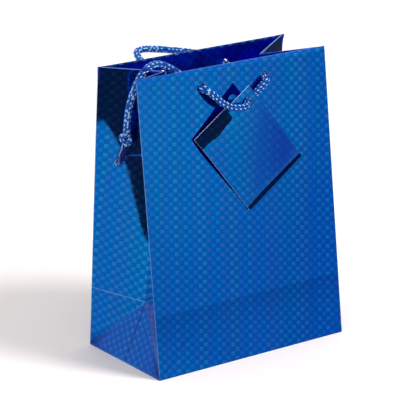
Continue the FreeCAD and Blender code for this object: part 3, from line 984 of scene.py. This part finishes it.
def strand_tube(parts, line, radius, sides, slot, flatten=1.0, out=None):
    """Adds one strand of yarn along a line; flatten squashes it along out."""
    points, faces, uvs, slots = parts
    tangent, n, b = frames(line)
    if out is not None:
        n = out - tangent * np.sum(out * tangent, axis=1)[:, None]
        n /= np.linalg.norm(n, axis=1)[:, None]
        b = np.cross(tangent, n)
    run = run_along(line)
    base = len(points)
    for i, p in enumerate(line):
        for k in range(sides):
            angle = 2 * math.pi * k / sides
            offset = n[i] * (math.cos(angle) * radius * flatten) + b[i] * (math.sin(angle) * radius)
            points.append(p + offset)
            uvs.append((radius * angle / MM, run[i] / MM))
    for i in range(len(line) - 1):
        for k in range(sides):
            a = base + i * sides + k
            c = base + i * sides + (k + 1) % sides
            faces.append([a, c, c + sides, a + sides])
    last = base + (len(line) - 1) * sides
    faces.append([base + k for k in range(sides)][::-1])
    faces.append([last + k for k in range(sides)])
    slots += [slot] * ((len(line) - 1) * sides + 2)


BLUE_YARN, SILVER_YARN, CORE_SHADE_YARN = range(3)   # material slots of a cord's piece
STITCH = 1.12 * MM           # length of cord for one row of the knitted tube
WALES = 5                    # columns of stitches round it
LEG = np.linspace(-0.25, 1.05, 5)                     # one leg of a V stitch, in rows
LEG_HEIGHT = np.array([0.55, 0.9, 1.0, 0.92, 0.6])    # in radii: its ends dive into the core
THREAD = 0.27                # radius of a stitch's thread, in radii of the cord
SILVER_THREAD, BLUE_THREAD = 0.70, 0.85        # in radii of that thread
THREAD_FLAT = 0.7            # threads are flatter than round
CORE = 0.72                  # in radii of the cord
SILVER_CHANCE = {True: 0.92, False: 0.10}      # for a leg in the silver pattern, and for the rest


def knit(line, radius, parts, seed):
    """A knitted tube: columns of V stitches over a core, every other one with a silver leg."""
    rng = random.Random(seed)
    line, total = even(line, 0.2 * MM)
    _, n, b = frames(line)
    run = np.linspace(0, total, len(line))
    thread = radius * THREAD
    lift = LEG_HEIGHT * radius - thread * 0.45
    leg_turn = 0.12 + 0.78 * (LEG + 0.25) / 1.3     # from beside the column's middle to its edge
    half_wale = math.pi / WALES
    for row in range(int(total / STITCH)):
        for wale in range(WALES):
            place = (row + LEG + 0.5 * (wale % 2)) * STITCH
            for way in (-1, 1):
                regular = (row + wale) % 2 == 0 and way == 1
                silver = rng.random() < SILVER_CHANCE[regular]
                if place[-1] > total:
                    continue
                angle = 2 * half_wale * wale + way * half_wale * leg_turn
                at, nn, bb = (between(place, run, values) for values in (line, n, b))
                out = nn * np.cos(angle)[:, None] + bb * np.sin(angle)[:, None]
                thick = thread * (SILVER_THREAD if silver else BLUE_THREAD)
                slot = SILVER_YARN if silver else BLUE_YARN
                strand_tube(parts, at + out * lift[:, None], thick, 5, slot, THREAD_FLAT, out)
    strand_tube(parts, line, radius * CORE, 10, CORE_SHADE_YARN)
    return line, total


def cord_object(name, parts):
    obj = mesh_object(name, *parts, [YARN_BLUE, YARN_SILVER, YARN_CORE_PAINTED_SHADE])
    outward_normals(obj)
    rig.slot(obj, "braided_cord")
    return obj


def new_parts():
    """Empty lists of a piece's points, faces, uvs and slots."""
    return [], [], [], []


def knot_line(centre, axis, size):
    """A pulled-tight overhand knot, drawn as a closed three-crossing line round the cord's axis."""
    axis = Vector(axis).normalized()
    aside = axis.cross(Vector((0.35, 1, 0.1))).normalized()
    depth = axis.cross(aside)
    line = []
    for i in range(121):
        t = 2 * math.pi * i / 120
        x = (math.sin(t) + 2 * math.sin(2 * t)) / 3
        y = (math.cos(t) - 2 * math.cos(2 * t)) / 3
        z = -math.sin(3 * t) / 3
        line.append(np.array(centre + axis * (x * size) + aside * (y * size * 0.82)
                             + depth * (z * size * 1.35)))
    return np.array(line)


TUFT_THREADS = 54
TUFT_THREAD = 0.17 * MM
TUFT_RADIUS, TUFT_SPREAD = 1.45 * MM, 0.75 * MM  # at the knot, and how much it gains to its end


def tuft(start, direction, length, seed, parts):
    """Frayed threads below a knot."""
    rng = random.Random(seed)
    direction = Vector(direction).normalized()
    aside = direction.cross(Vector((0.2, 1, 0.3))).normalized()
    other = direction.cross(aside)
    for k in range(TUFT_THREADS):
        angle = rng.uniform(0, 2 * math.pi)
        from_axis = math.sqrt(rng.random())
        reach = length * rng.uniform(0.72, 1.0)
        wave = rng.uniform(0.1, 0.5) * MM
        turn = rng.uniform(0, 2 * math.pi)
        line = []
        for i in range(13):
            share = i / 12
            out = from_axis * (TUFT_RADIUS + TUFT_SPREAD * share**1.5)
            p = start + direction * (reach * share)
            p = p + (aside * math.cos(angle) + other * math.sin(angle)) * out
            p = p + aside * (wave * share * math.sin(turn + 5 * share))
            p = p + other * (wave * share * math.cos(turn + 4 * share))
            line.append(np.array(p))
        slot = SILVER_YARN if k % 11 == 0 else (BLUE_YARN, CORE_SHADE_YARN)[k % 2]
        strand_tube(parts, np.array(line), TUFT_THREAD, 5, slot)


KNOT = 8.6 * MM              # length of cord's run that a knot takes up
KNOT_YARN = 1.3 * MM         # the cord is drawn thinner in its knot


def knotted_end(name, strand, tail_direction, tail_length, seed, body, replaced):
    """The stopper knot and frayed tail as one piece below a strand."""
    direction = (strand[-1] - strand[-2]).normalized()
    centre = strand[-1] + direction * (KNOT / 2)
    parts = new_parts()
    knit(knot_line(centre, direction, KNOT * 0.30), KNOT_YARN, parts, seed)
    tuft(strand[-1] + direction * (KNOT * 0.8), tail_direction, tail_length + KNOT * 0.2, seed,
         parts)
    obj = cord_object(name, parts)
    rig.ride(obj, body)
    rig.replaces(obj, *replaced)
    return obj


FRONT_ROUTE = FRONT_RIGHT_STRAND[::-1] + FRONT_LOOP[::-1] + FRONT_LEFT_STRAND + HANGING_STRAND


def front_cord_lines():
    """The front cord's one smooth line, parted where it crosses the gusset's top edge."""
    end = HANGING_STRAND[-1] + (HANGING_STRAND[-1] - HANGING_STRAND[-2]).normalized() * KNOT
    line = centreline(FRONT_ROUTE + [end])
    cut = int(np.argmin(np.linalg.norm(line - np.array(FRONT_LEFT_STRAND[-1]), axis=1)))
    return line[:cut + 1], line[cut:]


def front_cord():
    """Knot inside the right of the front wall, through the tag and up to the gusset's top edge."""
    knot = knotted_end("front_right_cord_knot", FRONT_RIGHT_STRAND, (0.8, 0.6, -10.0), 10 * MM, 3,
                       "front_wall", ["front_right_knot", "front_right_tail"])
    parts = new_parts()
    line, total = knit(front_cord_lines()[0], CORD / 2, parts, 1)
    cord = cord_object("front_cord", parts)
    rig.cord(cord, FRONT_RIGHT_STRAND[0], total, CORD, "knot", "limp", "loose", path=line,
            with_pieces=[knot])
    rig.blend(cord, "front_wall", "front_handle", front_mm(0, 135.5, -0.2), front_mm(0, 135.5, 1.8))
    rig.replaces(cord, "front_cord_loop", "front_cord_left_strand", "front_cord_right_strand")


def hanging_cord():
    """The free end of the front cord outside the left gusset; it runs down into its knot."""
    knot = knotted_end("hanging_cord_knot", HANGING_STRAND, (-3.2, 2.4, -10.0), 9.5 * MM, 11,
                       "cord_end", ["hanging_knot", "hanging_tail"])
    parts = new_parts()
    line, total = knit(front_cord_lines()[1], CORD / 2, parts, 2)
    cord = cord_object("hanging_cord", parts)
    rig.cord(cord, FRONT_LEFT_STRAND[-1], total, CORD, "knot", "limp", "hanging", path=line,
            with_pieces=[knot])
    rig.ride(cord, "cord_end")
    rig.replaces(cord, "front_cord_hanging_end")


def back_cord():
    """The back handle, in one piece with its two strands inside the wall, each ending in a knot."""
    ends = []
    for side, sign, seed in (("left", -1, 21), ("right", 1, 22)):
        ends.append(knotted_end(f"back_{side}_cord_knot", back_strand(sign),
                                (sign * 1.2, -0.4, -10.0), 9 * MM, seed, "back_wall",
                                [f"back_{side}_knot", f"back_{side}_tail"]))
    route = back_strand(-1)[::-1] + BACK_LOOP + back_strand(1)
    parts = new_parts()
    line, total = knit(centreline(route), CORD / 2, parts, 4)
    cord = cord_object("back_cord", parts)
    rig.cord(cord, back_strand(-1)[0], total, CORD, "knot", "limp", "loose", path=line,
            with_pieces=ends)
    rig.blend(cord, "back_wall", "back_handle", back_mm(0, 135.5, -0.2), back_mm(0, 135.5, 1.8))
    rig.replaces(cord, "back_cord_loop", "back_cord_left_strand", "back_cord_right_strand")


# ---------------------------------------------------------------- stage, light and camera
def stage_material(name, colour, rough):
    s = Shader(name)
    s.give("Base Color", colour)
    s.give("Roughness", rough)
    s.give("Specular IOR Level", 0.2)
    return s.material


def glow(name, colour):
    """A shader that gives even light."""
    s = Shader(name)
    s.give("Base Color", (0, 0, 0, 1))
    s.give("Specular IOR Level", 0.0)
    s.give("Emission Color", colour)
    s.give("Emission Strength", 1.0)
    return s


def table_top_material():
    """What the foil mirrors of the table: dimmer and bluer near the bag and to its right."""
    s = glow("table_top", (1, 1, 1, 1))
    place = s.node("ShaderNodeTexCoord").outputs["Object"]
    x, y = s.across_and_up(place)
    forward = s.math("MAXIMUM", s.times(y, -1.0), 0.02)
    aside = s.range(s.math("DIVIDE", x, forward), 0.5, 0.86, 1.0, 0.0)
    away = s.node("ShaderNodeVectorMath", operation="LENGTH")
    s.link(place, away.inputs[0])
    far = s.range(away.outputs["Value"], 0.1, 1.1, 0.13, 1.0)
    left = s.range(x, 0.0, -0.08, 0.0, 0.35)
    light = s.math("ADD", s.times(aside, far), left, clamp=True)
    s.give("Emission Color",
           s.mix_colour(light, (0.45, 0.60, 0.80, 1.0), (1.30, 1.38, 1.04, 1.0)))
    return s.material


def mouth_light():
    """What the turned-in foil mirrors inside the mouth: patches of light between its folds."""
    s = Shader("mouth_light")
    s.give("Base Color", (0, 0, 0, 1))
    place = s.node("ShaderNodeTexCoord").outputs["Object"]
    patches = s.noise(s.scaled(place, (60.0, 60.0, 60.0)), 1.0, 2.0)
    s.give("Emission Color", s.mix_colour(s.range(patches, 0.40, 0.56, 0.0, 1.0),
                                          (0.35, 0.30, 0.40, 1.0), (0.60, 0.85, 1.20, 1.0)))
    s.give("Emission Strength", 1.0)
    return s.material


def card(name, corners, material):
    """A studio card that only the foil's mirror reflections see."""
    mesh = bpy.data.meshes.new(name)
    mesh.from_pydata(corners, [], [list(range(len(corners)))])
    mesh.materials.append(material)
    obj = bpy.data.objects.new(name, mesh)
    bpy.context.scene.collection.objects.link(obj)
    obj.visible_camera = False
    obj.visible_diffuse = False
    obj.visible_shadow = False
    obj.visible_transmission = False
    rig.stage(obj)


def level(x_low, x_high, y_low, y_high, z):
    return [(x_low, y_low, z), (x_high, y_low, z), (x_high, y_high, z), (x_low, y_high, z)]


def upright(x_low, x_high, y, z_low, z_high):
    return [(x_low, y, z_low), (x_high, y, z_low), (x_high, y, z_high), (x_low, y, z_high)]


WORLD_LIGHT = 1.12
FLOOR_SIZE, TABLE_REACH = 6.0, 6.0
ON_TABLE = 1 * MM            # the flags lie this far above the mirrored table
# Painted shadow for the foil to mirror: the floor flag lies where the bag's shadow would fall on the table.
FLOOR_FLAG = [(x, y, ON_TABLE) for x, y in (
    (-0.240, -0.120), (-0.270, -0.180), (-0.315, -0.186), (-0.348, -0.156), (-0.365, -0.110),
    (-0.370, -0.080), (-4.000, -0.070), (-4.000, -1.300), (0.450, -1.300), (0.300, -0.950),
    (0.050, -0.700), (0.020, -0.300), (-0.030, -0.120))]


def light(name, kind, place, power):
    """A light turned to the middle of the bag."""
    data = bpy.data.lights.new(name, kind)
    data.energy = power
    obj = bpy.data.objects.new(name, data)
    obj.location = place
    obj.rotation_mode = "QUATERNION"
    obj.rotation_quaternion = (Vector((0, 0, 70 * MM)) - Vector(place)).to_track_quat("-Z", "Y")
    bpy.context.scene.collection.objects.link(obj)
    return obj


def studio():
    """A pale floor, a sun for the long soft shadow, and the cards that the foil mirrors."""
    bpy.ops.mesh.primitive_plane_add(size=FLOOR_SIZE, location=(0, 0, 0))
    floor = bpy.context.object
    floor.name = "floor"
    floor.data.materials.append(stage_material("pale_floor", (0.640, 0.600, 0.590, 1.0), 0.9))
    floor.visible_glossy = False
    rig.stage(floor)
    # The dark cards glow a dim red; the foil mirrors them as painted dark reflections.
    dark = glow("dark_card", (0.28, 0.080, 0.095, 1.0)).material
    right = glow("right_card", (0.07, 0.075, 0.10, 1.0)).material
    back = glow("back_card", (1.0, 0.70, 0.86, 1.0)).material
    card("mirrored_table", level(-TABLE_REACH, TABLE_REACH, -TABLE_REACH, TABLE_REACH, 0),
         table_top_material())
    card("floor_flag", FLOOR_FLAG, dark)
    card("right_flag", level(0.20, 0.95, -0.10, 0.40, ON_TABLE), right)
    card("back_flag", upright(-1.8, -0.2, 1.2, 0.0, 0.7), back)
    card("mouth_card", level(-0.044, 0.044, -0.014, 0.014, 0.1), mouth_light())
    card("room_flag", upright(-4.0, 0.55, -1.3, 0.0, 0.9), dark)

    world = bpy.data.worlds.new("studio")
    bpy.context.scene.world = world
    world.use_nodes = True
    background = world.node_tree.nodes["Background"]
    background.inputs["Color"].default_value = (1.0, 1.0, 1.0, 1.0)
    background.inputs["Strength"].default_value = WORLD_LIGHT

    key = light("key", "SUN", (0.41, -0.65, 0.70), 3.7)
    key.data.angle = math.radians(22.0)
    key.visible_glossy = False   # the foil would mirror it as a glare
    fill = light("fill", "AREA", (-0.8, -0.7, 0.6), 4.0)
    fill.data.shape = "SQUARE"
    fill.data.size = 0.9
    bpy.context.scene.view_settings.view_transform = "Standard"


def camera():
    """From the front left, a little above the mouth, with the bag just off the middle."""
    azimuth, elevation, roll = (math.radians(v) for v in (-34.93, 17.44, -0.86))
    distance = 1.125
    off_across, off_up = 3.23, 3.95   # millimetres
    back = Vector((math.sin(azimuth) * math.cos(elevation),
                   -math.cos(azimuth) * math.cos(elevation), math.sin(elevation)))
    across = Vector((0, 0, 1)).cross(back).normalized()
    up = back.cross(across)
    turned = across * math.cos(roll) + up * math.sin(roll)
    up = up * math.cos(roll) - across * math.sin(roll)
    target = Vector((0, 0, 72 * MM)) - turned * off_across * MM - up * off_up * MM
    data = bpy.data.cameras.new("camera")
    data.lens = 199.0
    data.sensor_width = 36.0
    obj = bpy.data.objects.new("camera", data)
    rotation = Matrix((turned, up, back)).transposed()
    obj.matrix_world = Matrix.Translation(target + back * distance) @ rotation.to_4x4()
    bpy.context.scene.collection.objects.link(obj)
    bpy.context.scene.camera = obj


bag_sheets()
plain_nodes()
gift_tag()
front_cord()
hanging_cord()
back_cord()
studio()
camera()

low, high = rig.bounds()
with open("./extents.json", "w") as out:
    json.dump({"cad": [list(cad_low), list(cad_high)], "visual": [list(low), list(high)]}, out)
